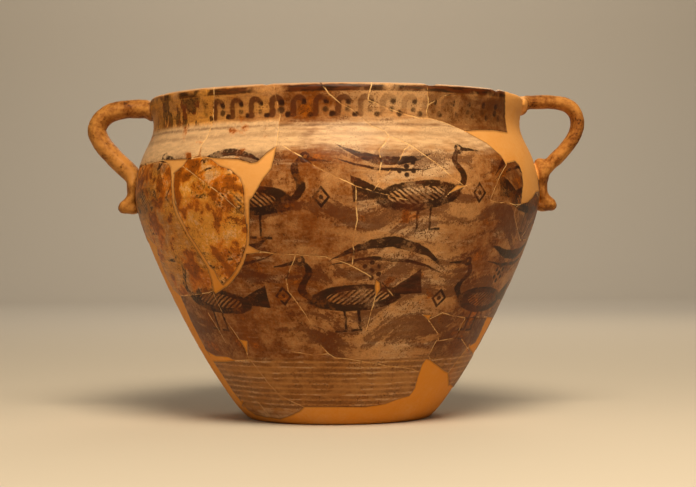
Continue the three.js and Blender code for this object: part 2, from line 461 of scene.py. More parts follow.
def joined_pot(pot):
    """The turned pot with both handles joined on, their creases pressed smooth."""
    krater = as_object(pot, "krater_looks")
    for side in ("right", "left"):
        lump = handle(side)
        join = krater.modifiers.new(side, "BOOLEAN")
        join.operation = "UNION"
        join.solver = "EXACT"
        join.object = lump
    apply_modifiers(krater)
    for side in ("right", "left"):
        bpy.data.objects.remove(bpy.data.objects[side + "_handle"])
    krater.data = in_fixed_order(krater.data)
    shape = bmesh.new()
    shape.from_mesh(krater.data)
    bmesh.ops.remove_doubles(shape, verts=shape.verts, dist=MERGE_DISTANCE)
    bmesh.ops.dissolve_degenerate(shape, dist=0.05, edges=shape.edges)
    press_creases(shape)
    return krater, shape


def press_creases(shape):
    """Rounds the inner corners between handles and wall, as a wet thumb would."""
    crease = set()
    for edge in shape.edges:
        middle = (edge.verts[0].co + edge.verts[1].co) / 2
        if abs(middle.x) > ROOTS_FROM and abs(middle.y) < ROOTS_REACH and edge.is_manifold:
            if edge.calc_face_angle_signed() < -CREASE_TURN:
                crease.update(edge.verts)
    for _ in range(CREASE_WIDTH):
        crease |= {edge.other_vert(vert) for vert in crease for edge in vert.link_edges}
    for _ in range(CREASE_SMOOTHING):
        bmesh.ops.smooth_vert(shape, verts=list(crease), factor=0.5, use_axis_x=True,
                              use_axis_y=True, use_axis_z=True)


# Places on the wall

outer_line = [at(0, -1)] + [at(BASE_RADIUS, 0)] + wall_line(*OUTER_STEPS) + [at(LIP[0], HEIGHT + 5)]
LINE_HEIGHTS = np.array([point.z for point in outer_line])
LINE_RADII = np.array([point.x for point in outer_line])
LINE_LENGTHS = np.cumsum(np.hypot(np.diff(LINE_RADII, prepend=0), np.diff(LINE_HEIGHTS, prepend=0)))


def smoothstep(low, high, value):
    share = np.clip((value - low) / (high - low), 0, 1)
    return share * share * (3 - 2 * share)


def wall_radius(heights):
    return np.interp(heights, LINE_HEIGHTS, LINE_RADII)


def angles(points):
    """Turn round the axis from the front, in radians."""
    return np.arctan2(points[:, 0], -points[:, 1])


def on_wall(points, widest=math.pi):
    """The places of the outer wall at the same height and at the same turn, if that is not too wide."""
    turn = np.clip(angles(points), -widest, widest)
    radius = wall_radius(points[:, 2])
    return np.stack([radius * np.sin(turn), -radius * np.cos(turn), points[:, 2]], 1)


def photo_pixels(points):
    """Where the camera sees the points."""
    local = (points - np.array(EYE)) @ np.array(VIEW)
    seen = local[:, :2] / -local[:, 2:] * PHOTO_FOCAL
    return np.stack([PHOTO_SIZE[0] / 2 + seen[:, 0], PHOTO_SIZE[1] / 2 - seen[:, 1]], 1)


def sight_line(pixel):
    """The direction in which the camera sees a pixel."""
    right = (pixel[0] - PHOTO_SIZE[0] / 2) / PHOTO_FOCAL
    up = (PHOTO_SIZE[1] / 2 - pixel[1]) / PHOTO_FOCAL
    return VIEW @ Vector((right, up, -1))


# Sherds, fills and the seams between them

def inside_outline(pixels, outline):
    """Which pixels lie inside a closed outline."""
    across, down = pixels.T
    inside = np.zeros(len(pixels), bool)
    for (ax, ay), (bx, by) in zip(outline, outline[1:] + outline[:1]):
        if ay != by:
            crossing = ax + (down - ay) * (bx - ax) / (by - ay)
            inside ^= ((ay > down) != (by > down)) & (across < crossing)
    return inside


def front_labels(pixels):
    """The number of the topmost outline at each pixel, counted from 1; 0 is the main sherd."""
    labels = np.zeros(len(pixels), int)
    for number, (outline, _) in enumerate(FRONT, 1):
        labels[inside_outline(pixels, outline)] = number
    return labels


IS_FILL = np.array([False] + [tone is None for _, tone in FRONT])


def labels_in_front(points):
    """The outline that each place of the front belongs to; past the limb, the one at the limb."""
    return front_labels(photo_pixels(on_wall(points, math.radians(LIMB_DEG))))


def trace_steps(line, order):
    """Short pieces of a traced line, each as (start, end, order of its outline)."""
    steps = []
    for start, end in zip(line, line[1:]):
        count = math.ceil(math.dist(start, end) / TRACE_STEP)
        places = np.linspace(start, end, count + 1)
        steps += [(a, b, order) for a, b in zip(places, places[1:])]
    return steps


class Seams:
    """The seams of the front as short straight runs on the wall."""

    def __init__(self, pot):
        tree = BVHTree.FromBMesh(pot)
        steps = []
        for order, (outline, _) in enumerate(FRONT, 1):
            steps += trace_steps(outline + outline[:1], order)
        for crack in CRACKS:
            steps += trace_steps(crack, len(FRONT) + 1)
        starts = np.array([start for start, _, _ in steps])
        ends = np.array([end for _, end, _ in steps])
        orders = np.array([order for _, _, order in steps])
        middles = (starts + ends) / 2
        along = (ends - starts) / np.linalg.norm(ends - starts, axis=1, keepdims=True)
        square = np.stack([-along[:, 1], along[:, 0]], 1)
        near = IS_FILL[front_labels(middles + SIDE_PROBE * square)]
        beyond = IS_FILL[front_labels(middles - SIDE_PROBE * square)]
        hidden = front_labels(middles) > orders
        runs = []
        for i in np.flatnonzero(~hidden & ~(near & beyond)):
            run = self.run_on_wall(tree, starts[i], ends[i])
            if run:
                start, end, normal = run
                across = normal.cross(end - start).normalized()
                seen = VIEW.col[0] * square[i, 0] - VIEW.col[1] * square[i, 1]
                if (across.dot(seen) > 0) == near[i]:
                    across.negate()
                runs.append((start, end, across, near[i] != beyond[i]))
        self.starts = np.array([run[0] for run in runs])
        self.ends = np.array([run[1] for run in runs])
        self.across = np.array([run[2] for run in runs])
        self.at_fill = np.array([run[3] for run in runs])
        self.all_runs = self.search_tree(np.arange(len(runs)))
        self.fill_runs = self.search_tree(np.flatnonzero(self.at_fill))

    @staticmethod
    def run_on_wall(tree, start, end):
        """Both ends of a traced piece on the wall and its normal, unless the wall turns away there."""
        first, normal, _, _ = tree.ray_cast(EYE, sight_line(start))
        last, _, _, _ = tree.ray_cast(EYE, sight_line(end))
        if first is None or last is None:
            return None
        if -normal.dot(sight_line(start).normalized()) < GRAZING or (last - first).length < 0.05:
            return None
        return first, last, normal

    def search_tree(self, numbers):
        """Places about a millimetre apart along the numbered runs, sorted for a quick search."""
        places = []
        for number in numbers:
            start, end = self.starts[number], self.ends[number]
            count = math.ceil(math.dist(start, end))
            places += [(start + (end - start) * (i + 0.5) / count, number) for i in range(count)]
        tree = KDTree(len(places))
        for place, number in places:
            tree.insert(place, number)
        tree.balance()
        return tree

    def nearest(self, points, tree):
        """The nearest run to each point and its distance."""
        chosen = np.array([tree.find(point)[1] for point in points.tolist()])
        offset = points - self.starts[chosen]
        span = self.ends[chosen] - self.starts[chosen]
        share = np.clip((offset * span).sum(1) / (span * span).sum(1), 0, 1)
        return chosen, np.linalg.norm(offset - share[:, None] * span, axis=1)


class Back:
    """The sherds of the back: each point belongs to its nearest seed."""

    def __init__(self):
        chance = random.Random(SEED)
        places, self.tones = [], []
        for height in BACK_ROWS:
            for degrees in (-FRONT_EDGE_DEG, FRONT_EDGE_DEG):
                places.append((degrees, height))
                self.tones.append(MAIN_TONE)
            steps = range(BACK_START_DEG, 361 - BACK_START_DEG, BACK_STEP_DEG)
            for degrees in steps:
                turn = degrees + chance.uniform(-1, 1) * BACK_STEP_DEG / 8
                places.append((turn, height + chance.uniform(-1, 1) * BACK_SCATTER))
                tone = Tone(chance.uniform(-0.2, 0.15), chance.uniform(-0.1, 0.5), 0.45)
                filled = chance.random() < BACK_FILL_SHARE
                if degrees in (steps[0], steps[-1]):
                    filled = IS_FILL[labels_in_front(self.on_rows(places[-1:]))[0]]
                self.tones.append(None if filled else tone)
        self.seeds = self.on_rows(places)
        self.is_front = np.array([abs(degrees) == FRONT_EDGE_DEG for degrees, _ in places])
        self.is_fill = np.array([tone is None for tone in self.tones])

    @staticmethod
    def on_rows(places):
        """Places on the wall from their degrees round the axis and heights."""
        degrees, heights = np.array(places, float).T
        turns, radius = np.radians(degrees), wall_radius(heights)
        return np.stack([radius * np.sin(turns), -radius * np.cos(turns), heights], 1)

    @staticmethod
    def bent(points):
        """The points shifted a little, so that the seams are not straight."""
        broad = BACK_WANDER[0] * np.sin(points[:, [1, 2, 0]] * 0.085 + 1)
        return points + broad + BACK_WANDER[1] * np.sin(points[:, [2, 0, 1]] * 0.27)

    def nearest_two(self, points):
        away = np.linalg.norm(self.bent(points)[:, None, :] - self.seeds, axis=2)
        order = np.argpartition(away, 1, axis=1)[:, :2]
        swap = np.take_along_axis(away, order, 1)
        order[swap[:, 0] > swap[:, 1]] = order[swap[:, 0] > swap[:, 1]][:, ::-1]
        return order[:, 0], order[:, 1]

    def border(self, points, own, other):
        """Distance to the seam between two seeds, negative past it; no seam between front seeds."""
        bent = self.bent(points)
        gap = self.seeds[own] - self.seeds[other]
        middle = (self.seeds[own] + self.seeds[other]) / 2
        distance = ((bent - middle) * gap).sum(1) / np.maximum(np.linalg.norm(gap, axis=1), 1)
        return np.where(self.is_front[own] & self.is_front[other], FAR, distance)


def refine_front(shape, seams):
    """Cuts the wall's faces finer along the seams of the front."""
    for reach in SEAM_REACH:
        faces = list(shape.faces)
        centres = np.array([face.calc_center_median() for face in faces])
        outside = np.hypot(centres[:, 0], centres[:, 1]) > wall_radius(centres[:, 2]) - 2
        _, distance = seams.nearest(centres, seams.all_runs)
        close = outside & (distance < reach) & (np.abs(centres[:, 0]) < BELLY[0] - 4)
        edges = dict.fromkeys(edge for i in np.flatnonzero(close) for edge in faces[i].edges)
        bmesh.ops.subdivide_edges(shape, edges=list(edges), cuts=1, use_grid_fill=True)


class Lay:
    """Which sherd or fill each point of the pot belongs to, and how far its seam is."""

    def __init__(self, points, seams, back):
        wall = on_wall(points)
        self.run, run_away = seams.nearest(wall, seams.all_runs)
        self.own, self.other = back.nearest_two(wall)
        front = labels_in_front(points)
        own_fill = np.where(back.is_front[self.own], IS_FILL[front], back.is_fill[self.own])
        other_fill = np.where(back.is_front[self.other], IS_FILL[front], back.is_fill[self.other])
        border = np.abs(back.border(wall, self.own, self.other))
        border[own_fill & other_fill] = FAR
        self.from_back = border < run_away
        self.distance = np.minimum(border, run_away)
        self.back_edge = self.from_back & (own_fill != other_fill)
        self.label = np.where(back.is_front[self.own], front, 1 + len(FRONT) + self.own)
        tones = [MAIN_TONE] + [tone for _, tone in FRONT] + back.tones
        self.tone = np.array([tone or MAIN_TONE for tone in tones])[self.label]
        self.under = (points[:, 2] < 2) & (np.hypot(points[:, 0], points[:, 1]) < BASE_CORNER[0])
        self.fill = own_fill | self.under


# Relief of the finished surface

def handle_share(points):
    """1 on the handles, 0 on the wall."""
    radius = np.hypot(points[:, 0], points[:, 1])
    near = (np.abs(points[:, 1]) < HANDLE_REACH) & (points[:, 2] > HANDLE_FOOT)
    return near * smoothstep(0.4, 2.5, radius - wall_radius(points[:, 2]))


def inside_share(points):
    """1 on the hollow's wall and floor, 0 outside."""
    radius = np.hypot(points[:, 0], points[:, 1])
    deep = smoothstep(2.5, 5.5, wall_radius(points[:, 2]) - radius)
    return deep * (points[:, 2] > FLOOR - 2)


def waves(points, length, turn):
    """Uneven swells about as long as given, between -1 and 1."""
    step = 2 * math.pi / length
    mixed = np.sin(points[:, 0] * step + 1.7 * np.sin(points[:, 1] * step * 0.73 + turn))
    mixed += np.sin(points[:, 1] * step * 1.13 + 1.4 * np.sin(points[:, 2] * step * 0.81 - turn))
    mixed += np.sin(points[:, 2] * step * 0.91 + 1.9 * np.sin(points[:, 0] * step * 0.67 + 2 * turn))
    return mixed / 3


def relief(points, normals, lay, seams):
    """The points moved by the wear, joins and hand work of the real pot."""
    turn = angles(points)
    height = points[:, 2]
    inside = inside_share(points)
    on_handle = handle_share(points)
    wall = 1 - on_handle
    above_base = smoothstep(4, 30, height)
    groove = -JOIN_DEPTH * (1 - smoothstep(0.25, 0.9, lay.distance))
    _, edge_away = seams.nearest(on_wall(points), seams.fill_runs)
    edge_away = np.minimum(edge_away, np.where(lay.back_edge, lay.distance, FAR))
    sunk = -FILL_DEPTH * lay.fill * smoothstep(0.0, 0.8, edge_away)
    shifts = np.random.default_rng(SEED).uniform(-SHERD_SHIFT, SHERD_SHIFT, len(FRONT) + 200)
    shifted = shifts[lay.label] * (1 - lay.fill) * smoothstep(0, 1, lay.distance)
    joins = wall * (groove + sunk + shifted)
    depth, steepness = OUTER_RIDGES
    ridges = depth * np.sin(height * steepness + 0.7 * np.sin(turn)) * (1 - inside)
    depth, steepness = INNER_RIDGES
    ridges += depth * np.sin(height * steepness + np.sin(turn + 1)) * inside
    hand = on_handle * sum(depth * waves(points, length, phase) for depth, length, phase in HAND_MARKS)
    offset = points - np.array(MEND_PLACE)
    ring = np.abs(offset @ np.array(MEND_FACING)) + 0.7 * np.abs(waves(points, 9, 1))
    mended_here = on_handle * (np.linalg.norm(offset, axis=1) < MEND_REACH)
    hand -= MEND_DEPTH * mended_here * (1 - smoothstep(0.4, 1.2, ring))
    moved = points + normals * ((joins + wall * ridges) * above_base + hand)[:, None]
    out = OUT_OF_ROUND[0] * np.sin(2 * turn + 0.6) + OUT_OF_ROUND[1] * np.sin(3 * turn - 1)
    moved[:, 0] += np.sin(turn) * out * above_base
    moved[:, 1] -= np.cos(turn) * out * above_base
    moved[:, 2] -= rim_wear(points, turn) * wall
    return moved


def rim_wear(points, turn):
    """How much lower the worn and chipped lip is than a new one."""
    crest = smoothstep(HEIGHT - 6, HEIGHT - 1, points[:, 2])
    chips = smoothstep(0.45, 0.8, waves(points * (1, 1, 0), CHIP_LENGTH, 1.3))
    start, end = np.radians(LOW_LIP_DEG)
    lowered = smoothstep(start - 0.02, start, turn) * (turn < end)
    return crest * (LIP_WEAR + CHIP_DEPTH * chips + LOW_LIP_DEPTH * lowered)


# What the finish reads from the mesh

def motif_places(turns, heights, motifs, reach):
    """The number of the nearest motif to each place, or -1 where none reaches it."""
    best = np.full(len(turns), 1.0)
    chosen = np.full(len(turns), -1)
    for number, motif in enumerate(motifs):
        across, up = motif_offsets(turns, heights, motif)
        away = np.maximum(np.abs(across) / reach[0], np.abs(up - reach[2]) / reach[1])
        closer = away < best
        best[closer] = away[closer]
        chosen[closer] = number
    return chosen


def motif_offsets(turns, heights, motif):
    """Places relative to a motif, in units of its length."""
    degrees, height, length, tilt, facing = motif
    apart = (turns - math.radians(degrees) + math.pi) % (2 * math.pi) - math.pi
    across = apart * wall_radius(heights)
    up = np.interp(heights, LINE_HEIGHTS, LINE_LENGTHS) - np.interp(height, LINE_HEIGHTS, LINE_LENGTHS)
    lean = math.radians(tilt)
    level = (across * math.cos(lean) + up * math.sin(lean)) * facing
    return level / length, (up * math.cos(lean) - across * math.sin(lean)) / length


def fillers():
    """Small ornaments beside each bird, in the same terms as the birds."""
    made = []
    for degrees, height, length, _, facing in BIRDS:
        for across, up in FILLER_SPOTS:
            radius = float(wall_radius(height))
            turn = degrees + math.degrees(across * facing * length / radius)
            made.append((turn, height + up * length * 0.94, FILLER_SIZE, 0, 1))
    return made


def motif_values(centres, corners, corner_face, motifs, reach):
    """For each face corner, its place within the nearest motif, and the motif's number."""
    outside = np.hypot(centres[:, 0], centres[:, 1]) > wall_radius(centres[:, 2]) - 2
    chosen = motif_places(angles(centres), centres[:, 2], motifs, reach)
    chosen[~outside] = -1
    chosen = chosen[corner_face]
    values = np.full((len(corners), 3), FAR)
    for number, motif in enumerate(motifs):
        here = chosen == number
        across, up = motif_offsets(angles(corners[here]), corners[here, 2], motif)
        values[here] = np.stack([across, up, np.full(len(across), number % 2)], 1)
    return values


def write_attributes(mesh, points, point_lay, seams, back):
    """Stores on the mesh where seams, fills, sherds, handles and motifs lie."""
    corner_vert = np.zeros(len(mesh.loops), int)
    mesh.loops.foreach_get("vertex_index", corner_vert)
    sizes = np.zeros(len(mesh.polygons), int)
    mesh.polygons.foreach_get("loop_total", sizes)
    corner_face = np.repeat(np.arange(len(sizes)), sizes)
    corners = points[corner_vert]
    centres = np.zeros((len(sizes), 3))
    np.add.at(centres, corner_face, corners)
    centres /= sizes[:, None]
    lay = Lay(centres, seams, back)
    wall = on_wall(corners)
    run = lay.run[corner_face]
    own, other = lay.own[corner_face], lay.other[corner_face]
    by_run = ((wall - seams.starts[run]) * seams.across[run]).sum(1)
    by_back = back.border(wall, own, other)
    from_back = lay.from_back[corner_face]
    seam = np.where(from_back, by_back, by_run)
    seam[lay.distance[corner_face] > 6] = FAR
    plain = np.where(point_lay.fill[corner_vert], -2.0, 2.0)
    edge = np.where(lay.fill[corner_face], -by_back, by_back)
    edge = np.where(lay.back_edge[corner_face], edge, plain)
    edge = np.where(~from_back & seams.at_fill[run], by_run, edge)
    far = (lay.distance[corner_face] > 4) | lay.under[corner_face]
    fill = np.where(far, plain, edge)
    store(mesh, "seam", "CORNER", seam)
    store(mesh, "fill", "CORNER", fill)
    store(mesh, "tone", "CORNER", lay.tone[corner_face])
    for name, motifs, reach in (("bird", BIRDS, BIRD_REACH), ("reed", REEDS, REED_REACH),
                                ("filler", fillers(), FILLER_REACH)):
        store(mesh, name, "CORNER", motif_values(centres, corners, corner_face, motifs, reach))
    store(mesh, "handle", "POINT", handle_share(points))
    store(mesh, "inside", "POINT", inside_share(points))


def store(mesh, name, domain, values):
    """One named attribute of the mesh, plain numbers or vectors."""
    kind, field = ("FLOAT_VECTOR", "vector") if values.ndim == 2 else ("FLOAT", "value")
    layer = mesh.attributes.new(name, kind, domain)
    layer.data.foreach_set(field, np.ascontiguousarray(values, np.float32).ravel())


# Finishes

def shade_of(red, green, blue):
    """A colour from its screen values, 0 to 255."""
    linear = [((part / 255 + 0.055) / 1.055) ** 2.4 for part in (red, green, blue)]
    return (*linear, 1)


PINK_BUFF = shade_of(176, 124, 74)
BROWN_BUFF = shade_of(117, 58, 2)
PALE_BUFF = shade_of(206, 166, 122)
GOLDEN_BUFF = shade_of(212, 142, 52)
BAND_BUFF = shade_of(186, 128, 66)
RUST = shade_of(206, 112, 16)
DARK_RUST = shade_of(104, 44, 8)
BROWN_WASH = shade_of(88, 46, 8)
DARK_INK = shade_of(34, 15, 5)
BROWN_INK = shade_of(76, 31, 6)
PLASTER = shade_of(216, 154, 84)
PLASTER_DARK = shade_of(212, 134, 40)
GLUE = shade_of(236, 190, 126)
HANDLE_CLAY = shade_of(184, 124, 58)
HANDLE_DARK = shade_of(120, 66, 20)
INSIDE_CLAY = shade_of(190, 128, 72)
INSIDE_DARK = shade_of(146, 90, 44)
WORN_LIP_AND_HIGHLIGHT = shade_of(198, 158, 122)
SOIL_AND_SHADOW = shade_of(56, 30, 10)


# Zones of the finish, as the heights between which each starts and ends; the neck only starts
NECK_FOOT = (253, 263)
SHOULDER = ((226, 242), (252, 263))
FRIEZE = ((56, 64), (226, 240))
BANDS = ((10, 14), (57, 62))
DAUBS = ((256, 262), (281, 285))

# Zones of the front in the same way, as radians round from its middle
DAUBED_NECK = ((-1.6, -1.5), (-0.76, -0.7))
FADED_HOOKS = ((0.0, 0.3), (1.1, 1.3))
FAINT_GROUND = ((-0.1, 0.25), (0.4, 0.9))
BROWN_RIGHT = ((-0.4, 0.5), (1.3, 1.9))

# Painted lines, brush sweeps and the neck's hooks: their heights, and the pitch or number of what repeats
SHOULDER_LINES = (255, 247.5)
LIP_BAND = 285.2
BAND_LINES = (14, 60)
BAND_PITCH = 4.8
SWEEP_ROW = 82
SWEEP_PITCH = 50
NECK_BAND_MIDDLE = 271
HOOKS = 57
HOOK_CELL = 18.4
FIRST_HOOK_DEG = -8.2


class Shade:
    """A value in a material; arithmetic on it adds the nodes that work it out."""

    def __init__(self, tree, socket=None):
        self.tree = tree
        self.socket = socket

    def node(self, kind, settings, inputs, output=0):
        """One output of a new node, made with its settings first and then its inputs."""
        made = self.tree.nodes.new(kind)
        for name, setting in settings.items():
            setattr(made, name, setting)
        for name, value in inputs.items():
            if isinstance(value, Shade):
                self.tree.links.new(value.socket, made.inputs[name])
            else:
                made.inputs[name].default_value = value
        return Shade(self.tree, made.outputs[output] if made.outputs else None)

    def maths(self, operation, *values):
        return self.node("ShaderNodeMath", {"operation": operation}, dict(enumerate(values)))

    def __add__(self, other):
        return self.maths("ADD", self, other)

    __radd__ = __add__

    def __sub__(self, other):
        return self.maths("SUBTRACT", self, other)

    def __rsub__(self, other):
        return self.maths("SUBTRACT", other, self)

    def __mul__(self, other):
        return self.maths("MULTIPLY", self, other)

    __rmul__ = __mul__

    def __truediv__(self, other):
        return self.maths("DIVIDE", self, other)

    def __mod__(self, other):
        return self.maths("FLOORED_MODULO", self, other)

    def __neg__(self):
        return self * -1

    def __abs__(self):
        return self.maths("ABSOLUTE", self)

    def least(self, *others):
        return reduce(partial(self.maths, "MINIMUM"), others, self)

    def most(self, *others):
        return reduce(partial(self.maths, "MAXIMUM"), others, self)

    def sine(self):
        return self.maths("SINE", self)

    def cosine(self):
        return self.maths("COSINE", self)

    def rise(self, low, high):
        """0 below low, 1 above high, smooth between."""
        ramp = {"Value": self, "From Min": low, "From Max": high}
        return self.node("ShaderNodeMapRange", {"interpolation_type": "SMOOTHSTEP"}, ramp)

    def fall(self, low, high):
        """1 below low, 0 above high, smooth between."""
        return 1 - self.rise(low, high)

    def between(self, start, end):
        """1 between two places, reached over the start's stretch and left over the end's."""
        return self.rise(*start) * self.fall(*end)

    def times(self, factor):
        """A colour or vector made larger or smaller as a whole."""
        return self.node("ShaderNodeVectorMath", {"operation": "SCALE"}, {0: self, "Scale": factor})

    def stretched(self, across, depth, height):
        """A vector with each of its numbers multiplied."""
        by = (across, depth, height)
        return self.node("ShaderNodeVectorMath", {"operation": "MULTIPLY"}, {0: self, 1: by})

    def parts(self):
        """The three numbers of a vector."""
        return [self.node("ShaderNodeSeparateXYZ", {}, {"Vector": self}, i) for i in range(3)]

    def noise(self, size, detail):
        """Cloudy noise with features of about that size, between 0 and 1."""
        return self.node("ShaderNodeTexNoise", {},
                         {"Vector": self, "Scale": 1 / size, "Detail": detail, "Roughness": 0.55})

    def blend(self, low, high):
        """A colour between two, low where this is 0 and high where it is 1."""
        return self.node("ShaderNodeMix", {"data_type": "RGBA"}, {0: self, 6: low, 7: high}, 2)

    def read(self, name, output="Fac"):
        """An attribute of the mesh."""
        return self.node("ShaderNodeAttribute", {"attribute_name": name}, {}, output)


class Clay:
    """What each layer of the finish reads: places on the pot, its unevenness and its sherds."""

    def __init__(self, tree):
        self.shade = Shade(tree)
        self.place = self.shade.node("ShaderNodeTexCoord", {}, {}, "Object").times(1 / MM)
        across, depth, self.height = self.place.parts()
        self.turn = self.shade.maths("ARCTAN2", across, -depth)
        self.broad = self.place.noise(75, 3)
        self.blotchy = self.place.noise(34, 5)
        self.patchy = self.place.noise(13, 5)
        self.fine = self.place.noise(2.6, 3)
        self.grit = self.place.noise(1.2, 2)
        self.grains = self.fine * 0.4 + self.grit * 0.6
        self.streaks = self.brushed(14, 2.6)
        self.smears = self.brushed(60, 11)
        self.uneven = self.patchy - 0.5
        self.blotched = self.blotchy - 0.5
        self.tiny = self.fine - 0.5
        self.grainy = self.grains - 0.5
        self.streaky = self.streaks - 0.5
        self.smeary = self.smears - 0.5
        self.light, self.rust, self.wear = self.shade.read("tone", "Vector").parts()
        self.on_neck = self.height.rise(*NECK_FOOT)
        self.on_shoulder = self.height.between(*SHOULDER)
        self.in_frieze = self.height.between(*FRIEZE)

    def brushed(self, round_pot, up, sway=0):
        """Noise drawn out by the brush, with marks about that long round the pot and up it."""
        rise = ((self.turn * 5 + 1).sine() + (self.turn * 12).sine() * 0.6) * sway
        rise = self.shade.node("ShaderNodeCombineXYZ", {}, {"Z": rise})
        drawn = self.shade.node("ShaderNodeVectorMath", {}, {0: self.place, 1: rise})
        return drawn.stretched(1 / round_pot, 1 / round_pot, 1 / up).noise(1, 4)


def length_of(across, up):
    """Distance from the middle of a motif."""
    return across.maths("SQRT", across * across + up * up)


def box_edge(across, up, half_width, half_height):
    """Distance outside a box round the middle, negative inside."""
    return (abs(across) - half_width).most(abs(up) - half_height)


def bird_edge(across, up):
    """Distance outside a water bird one unit long, negative inside its paint."""
    body = (length_of((across + 0.06) / 0.33, up / 0.105) - 1) * 0.1
    back = -0.3 - across
    tail = (abs(up - 0.02 - back * 0.3) - 0.02 - back * 0.3).most(abs(across + 0.42) - 0.13)
    bend = up * 0.3 + 0.235 + (up * 19).sine() * 0.05
    neck = (abs(across - bend) - 0.032 + up * 0.03).most(abs(up - 0.15) - 0.16)
    head = length_of(across - 0.315, up - 0.31) - 0.038
    front = across - 0.33
    beak = (abs(up - 0.305 + front * 0.14) - 0.018 + front * 0.09).most(abs(front - 0.085) - 0.085)
    legs = box_edge(abs(across + 0.03) - 0.05, up + 0.165, 0.009, 0.1)
    feet = box_edge(abs(across) - 0.055, up + 0.262, 0.04, 0.009)
    wing = length_of((across + 0.08) / 0.22, (up - 0.005) / 0.058) - 1
    hatch = abs((across * 0.8 + up) % 0.036 - 0.018) - 0.009
    eye = length_of(across - 0.318, up - 0.315) - 0.013
    paint = body.least(tail, neck, head, beak, legs, feet)
    return paint.most(-(wing.most(hatch)), -eye)


def reed_edge(across, up, kind):
    """Distance outside a broad and a narrow reed one unit long, negative inside their paint."""
    arch = across * across * 4
    middle = (0.3 - arch) * (0.2 - kind * 0.34)
    broad = abs(up - middle) - (1 - arch) * 0.045
    narrow = abs(up - middle * 0.5 + 0.11) - (1 - arch) * 0.016
    return broad.least(narrow)


def filler_edge(across, up, kind):
    """Distance outside a dotted rosette or a lozenge one unit wide, negative inside its paint."""
    radius = length_of(across, up)
    turn = up.maths("ARCTAN2", up, across) % (math.pi / 3) - math.pi / 6
    dots = length_of(radius * turn.cosine() - 0.33, radius * turn.sine()) - 0.1
    rosette = dots.least(radius - 0.11)
    lozenge = (abs(abs(across) * 1.2 + abs(up) - 0.36) - 0.075).least(radius - 0.09)
    return rosette * (1 - kind) + lozenge * kind


def stroke_edge(along, beside, reach, half_width):
    """Distance outside a straight brush stroke with round ends."""
    return length_of((abs(along) - reach).most(0), beside) - half_width


def hook_edges(turn, height):
    """Distances outside the neck's running hooks and outside the blobs of paint at their ends."""
    steps = (turn - math.radians(FIRST_HOOK_DEG)) * (HOOKS / (2 * math.pi))
    across = (steps % 1 - 0.5) * HOOK_CELL
    up = height - NECK_BAND_MIDDLE
    stem = stroke_edge(up + 2.7, across + 1.8, 4.2, 2.4)
    arch = (abs(length_of(across - 2.8, up - 1.9) - 4.6) - 2.3).most(1.5 - up)
    foot = stroke_edge(across + 4.6, up + 7.2, 2.6, 2.0)
    tip = length_of(across - 7, up - 2.6) - 2.3
    dot = length_of(across - 6.2, up + 3.6) - 2.3
    heel = length_of(across + 6.4, up + 7.2) - 2.3
    return stem.least(arch, foot), tip.least(dot, heel)


def lines_edge(height, low, high, pitch, half_width):
    """Distance outside a stack of lines between two heights."""
    line = abs((height - low) % pitch - pitch / 2) - half_width
    return line.most(abs(height - (low + high) / 2) - (high - low) / 2)


def figure_edge(clay):
    """Distance outside the birds, the reeds and the fillers."""
    across, up, _ = clay.shade.read("bird", "Vector").parts()
    bird = bird_edge(across + clay.uneven * 0.04, up + clay.blotched * 0.04) * BIRD_SIZE
    across, up, kind = clay.shade.read("reed", "Vector").parts()
    reed = reed_edge(across, up + clay.uneven * 0.05, kind) * REED_SIZE
    filler = clay.shade.read("filler", "Vector").parts()
    return bird.least(reed, filler_edge(*filler) * FILLER_SIZE)


def slip_colour(clay):
    """The slip under the paint: buff, browned in firing, stained and speckled, with a pale shoulder that
    is partly a painted highlight.
    """
    warmth = clay.blotchy * 0.6 + clay.smears * 0.3 + clay.uneven * 0.4 + clay.tiny * 0.4
    faint = clay.turn.between(*FAINT_GROUND)
    slip = (warmth + 0.05 - faint * 0.17).rise(0.25, 0.62).blend(PINK_BUFF, BROWN_BUFF)
    light = clay.light.least(clay.light * (1 - clay.on_neck * 0.55))
    # The pale band round the shoulder is partly the slip's own colour and partly a painted highlight where
    # the lamp shines on the shoulder; right of the middle the ground also grows paler towards the
    # shoulder.
    faint = faint * (0.3 + clay.height.rise(185, 230) * 0.3)
    pale = light * 3 + clay.rust.rise(0.3, 0.7) * 0.45 + (clay.on_shoulder * 0.75).most(faint)
    pale = (pale + clay.uneven + clay.smeary * 1.6 + clay.streaky * 0.8).rise(0.1, 0.9)
    bright = (clay.rust + clay.on_neck * 0.3).rise(0.2, 0.5).blend(PALE_BUFF, GOLDEN_BUFF)
    slip = pale.blend(slip, bright)
    stain = (clay.rust * 1.1 + clay.uneven * 2.6 + clay.blotched * 3.4 - 0.5).rise(0, 0.5)
    slip = (stain * 0.9).blend(slip, RUST)
    specks = (clay.grains + clay.uneven * 0.3).rise(0.5, 0.62)
    burnt = (stain * 1.4 + clay.uneven * 3).rise(1.0, 1.7)
    slip = (specks * stain * 0.6).most(burnt * 0.65).blend(slip, DARK_RUST)
    flaked = clay.rust.rise(0.4, 0.7) * (-clay.uneven * 2 + clay.tiny * 1.5).rise(0.1, 0.4)
    slip = (flaked * 0.45).blend(slip, PALE_BUFF)
    dirt = (clay.smears + clay.uneven * 0.8 - light * 0.5).rise(0.36, 0.58)
    slip = (specks * dirt * (0.8 - clay.on_shoulder * 0.5)).blend(slip, BROWN_WASH)
    wash = (clay.smears + clay.uneven * 0.8 + clay.streaky * 0.9 - light * 0.4).rise(0.42, 0.62)
    slip = (wash * clay.on_neck * (0.15 + clay.turn.rise(0.5, 0.9) * 0.4)).blend(slip, BROWN_WASH)
    # Less grain shows on the shoulder, under its painted highlight.
    grain = clay.grainy * (2 - clay.on_shoulder * 1.5)
    streaks = clay.streaky * (0.25 + clay.on_shoulder * 0.6)
    return slip.times(light.least(0) * 0.9 + grain + streaks + 1)


